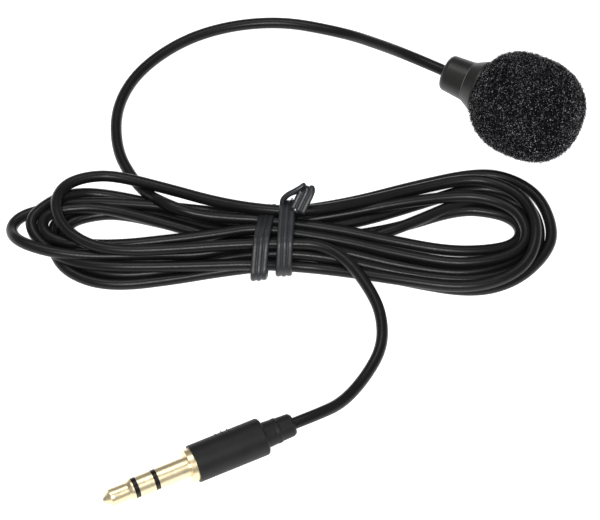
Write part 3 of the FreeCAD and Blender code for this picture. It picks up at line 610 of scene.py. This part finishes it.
def tail():
    """The twisted end: up behind the wraps, over in a fold, and down flat on the strands."""
    path = [(0.9, 5.6, 5.0), (0.45, 5.8, 6.1), (0.7, 6.1, 7.0), (1.5, 6.4, 7.7), (2.6, 6.6, 8.2),
            (3.8, 6.8, 8.6), (4.7, 6.9, 8.9), (4.5, 6.2, 8.5), (3.7, 4.9, 7.6), (2.9, 3.5, 6.6)]
    edge_on, flat = Vector((0.1, 0.55, -0.83)), Vector((0.93, -0.30, -0.18))
    turned = (0, 0, 0, 0, 0.1, 0.4, 0.8, 1, 1, 1)
    across = [edge_on.lerp(flat, share).normalized() for share in turned]
    rows = spline_weights(len(path), 8)
    return ribbon(rows @ np.array(path), rows @ np.array(across), closed=False)


def wire_end(place, way, length=0.9, radius=0.25, count=12):
    """A short cut wire that stands out of the ribbon."""
    place, way = Vector(place), Vector(way).normalized()
    side = way.orthogonal().normalized()
    other = way.cross(side)
    points = []
    for along, size in ((0, 1.0), (length * 0.85, 1.0), (length, 0.7)):
        for step in range(count):
            turn = TWO_PI * step / count
            points.append(place + way * along
                          + (side * math.cos(turn) + other * math.sin(turn)) * radius * size)
    faces = ring_faces(count, 3) + [tuple(reversed(range(count))),
                                    tuple(range(2 * count, 3 * count))]
    return points, faces


def joined(parts):
    """Several sets of points and faces as one set, in the model's frame."""
    points, faces = [], []
    for more_points, more_faces in parts:
        faces += [tuple(index + len(points) for index in face) for face in more_faces]
        points += [from_hank(point) for point in more_points]
    return points, faces


def make_tie():
    """Two wraps, the left one under the two topmost strands at the back, and the tail."""
    def lower(spot):
        """All strands but the topmost ones at the back."""
        return spot[0] < 3.0 or spot[1] < 2.6

    points, faces = joined([wrap(-2.9, 0.85, lower, slack=1.5),
                            wrap(1.0, 0.4, lambda spot: True), tail()])
    band = mesh_piece("tie_ribbon", points, faces)
    finish_piece(band, "microphone", "tie", TIE, "twist_tie_sleeve")
    points, faces = joined([wire_end((2.75, 3.75, 7.0), (-0.2, -0.5, 0.45)),
                            wire_end((1.75, 6.1, 5.8), (0.35, 0.0, 0.8))])
    wires = mesh_piece("tie_wire_ends", points, faces)
    finish_piece(wires, "microphone", "tie_wire", STEEL, "twist_tie_wire")
    return [band, wires]


tie = make_tie()


# ------------------------------------------------------------------------------------ the foam

CELL = 0.48  # the foam's cells
WALL_HEIGHT, WALL_WIDTH = 0.24, 0.25  # the cells' walls: height, and width as a share of a cell
SKIN_DEPTH = 0.26  # the cells' floors lie this far inside the ball's own surface
LUMP, LUMP_SIZE = 0.08, 2.6  # the skin's slow unevenness


def make_foam():
    """An open-cell foam ball with the pocket that the head fits.

    Returns the skin's points and their directions from the middle, for the struts.
    """
    low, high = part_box("foam_windscreen")
    centre_x, centre_z = 3.0, (low.z + high.z) / 2 / MM
    radius = (high.z - low.z) / 2 / MM - 0.1
    front, rear = high.x / MM - centre_x - 0.05, 9.75
    rim_x, bore, bore_end = low.x / MM, 4.75, 1.5
    floor_share = 0.35  # the middle of the folded-in cap is the pocket's floor
    power = 2.4  # slightly squarer than an ellipse
    bpy.ops.mesh.primitive_ico_sphere_add(subdivisions=7, radius=1)
    foam = bpy.context.object
    foam.name = "foam_ball"
    mesh = foam.data
    co = np.empty(len(mesh.vertices) * 3)
    mesh.vertices.foreach_get("co", co)
    way = co.reshape(-1, 3)

    # The ball: flatter in front than an ellipse would be, and longer behind
    around = np.linalg.norm(way[:, 1:], axis=1)
    reach = np.where(way[:, 0] > 0, front, rear)
    scale = ((np.abs(way[:, 0]) / reach) ** power + (around / radius) ** power) ** (-1 / power)
    place = way * scale[:, None]

    # The pocket: the rear cap folded in
    from_rear = np.arctan2(around, -way[:, 0])
    rim_angle = math.atan2(bore + 0.3, centre_x - rim_x)
    inside = from_rear < rim_angle
    share = from_rear / rim_angle
    unit = way[:, 1:] / np.maximum(around, 1e-9)[:, None]
    wall = np.clip((share - floor_share) / (1 - floor_share), 0, 1)
    x_inside = bore_end + (rim_x - bore_end) * wall - centre_x
    r_inside = bore * np.clip(share / floor_share, 0, 1)
    place[inside, 0] = x_inside[inside]
    place[inside, 1:] = (unit * r_inside[:, None])[inside]

    # The skin: cell walls stand up between pits
    outer = np.nonzero(~inside)[0]
    for index in outer:
        spot = Vector(place[index])
        distances, _ = noise.voronoi(spot / CELL)
        cell_wall = math.exp(-((distances[1] - distances[0]) / WALL_WIDTH) ** 2)
        lump = noise.noise(spot / LUMP_SIZE) * LUMP
        place[index] += way[index] * (WALL_HEIGHT * cell_wall - SKIN_DEPTH + lump)
    place += (centre_x, 0, centre_z)
    mesh.vertices.foreach_set("co", (place * MM).ravel())
    mesh.shade_smooth()
    mesh.update()
    finish_piece(foam, "windscreen", "foam", FOAM, "foam_windscreen")
    return place[outer], way[outer]


def make_struts(places, ways, count=24500):
    """The torn outer struts of the foam: short three-sided bars, every which way."""
    scatter = 0.09
    flattening = 0.6  # how much of a strut's outward lean is taken away
    chance = np.random.default_rng(7)
    picked = chance.integers(0, len(places), count)
    centre = places[picked] + ways[picked] * chance.uniform(-0.04, 0.16, (count, 1))
    centre += chance.normal(0, scatter, (count, 3))
    along = chance.normal(0, 1, (count, 3))
    along -= flattening * ways[picked] * np.sum(along * ways[picked], axis=1, keepdims=True)
    along /= np.linalg.norm(along, axis=1, keepdims=True)
    side = np.cross(along, chance.normal(0, 1, (count, 3)))
    side /= np.linalg.norm(side, axis=1, keepdims=True)
    other = np.cross(along, side)
    length = chance.uniform(0.18, 0.36, (count, 1))
    radius = chance.uniform(0.03, 0.055, (count, 1))
    corners = []
    for end in (-0.5, 0.5):
        for step in range(3):
            turn = step * TWO_PI / 3
            corners.append(centre + along * length * end
                           + (side * math.cos(turn) + other * math.sin(turn)) * radius)
    points = np.stack(corners, axis=1).reshape(-1, 3)
    shape = [(0, 1, 4, 3), (1, 2, 5, 4), (2, 0, 3, 5), (2, 1, 0), (3, 4, 5)]
    faces = [tuple(6 * bar + corner for corner in face) for bar in range(count) for face in shape]
    struts = mesh_piece("foam_struts", points, faces, smooth=False)
    return finish_piece(struts, "windscreen", "foam", STRUT_WITH_PAINTED_GLINTS)


make_struts(*make_foam())


# ------------------------------------------------------------------------- the housing's seam, with a painted highlight

def make_seam(x=-8.5, z=9.2, radius=3.55, thickness=0.07, around=96, section=8):
    """The fine raised line where the two halves of the housing meet; its pale colour is a painted
    highlight.
    """
    points = []
    for step in range(around):
        turn = TWO_PI * step / around
        for part in range(section):
            bend = TWO_PI * part / section
            reach = radius + thickness * math.cos(bend)
            points.append((x + thickness * math.sin(bend), reach * math.cos(turn),
                           z + reach * math.sin(turn)))
    seam = mesh_piece("housing_seam_painted_highlight", points, ring_faces(section, around, closed_along=True))
    return finish_piece(seam, "microphone", "housing", SEAM_PAINTED_HIGHLIGHT)


make_seam()


# ------------------------------------------------------------------- floor, lights and camera

def make_floor():
    """A plain white floor with a little glow of its own, so that it fades into the backdrop."""
    size = 1500
    floor = mesh_piece("floor", [(-size, -size, 0), (size, -size, 0), (size, size, 0),
                                 (-size, size, 0)], [(0, 1, 2, 3)], smooth=False)
    material = varied("studio_floor", (0.9, 0.9, 0.9), (0.91, 0.91, 0.91), 0.9, 40)
    shader = material.node_tree.nodes["Principled BSDF"]
    shader.inputs["Emission Color"].default_value = (1, 1, 1, 1)
    shader.inputs["Emission Strength"].default_value = 0.72
    floor.data.materials.append(material)


def make_area(name, place, target, size, power):
    """A round soft light that looks at a target; lengths in metres."""
    light = bpy.data.lights.new(name, "AREA")
    light.shape = "DISK"
    light.size = size
    light.energy = power
    lamp = bpy.data.objects.new(name, light)
    bpy.context.scene.collection.objects.link(lamp)
    lamp.location = place
    lamp.rotation_euler = (Vector(target) - Vector(place)).to_track_quat("-Z", "Y").to_euler()


def make_studio():
    """The floor, an even white backdrop, a small key light in front and a broad one above."""
    make_floor()
    world = bpy.data.worlds.new("studio")
    bpy.context.scene.world = world
    world.use_nodes = True
    backdrop = world.node_tree.nodes["Background"]
    backdrop.inputs["Color"].default_value = (1, 1, 1, 1)
    backdrop.inputs["Strength"].default_value = 0.28
    middle = (-0.02, -0.04, 0)
    make_area("key", (0.16, -0.38, 0.52), middle, 0.15, 2.8)
    make_area("top", (-0.2, 0.1, 0.7), middle, 0.4, 1.5)
    bpy.context.scene.view_settings.view_transform = "Standard"


def make_camera():
    """A long lens, about 56 degrees above the table."""
    camera = bpy.data.cameras.new("camera")
    camera.lens = 167.04
    camera.sensor_width = 36
    camera.clip_start, camera.clip_end = 0.01, 10
    eye = bpy.data.objects.new("camera", camera)
    bpy.context.scene.collection.objects.link(eye)
    eye.location = (0.1093, -0.2737, 0.4003)
    target = Vector((-0.0191, -0.0420, 0))
    right = Vector((0.8746, 0.4848, 0)).normalized()
    back = (eye.location - target).normalized()
    eye.rotation_euler = Matrix((right, back.cross(right), back)).transposed().to_euler()
    bpy.context.scene.camera = eye


make_studio()
make_camera()
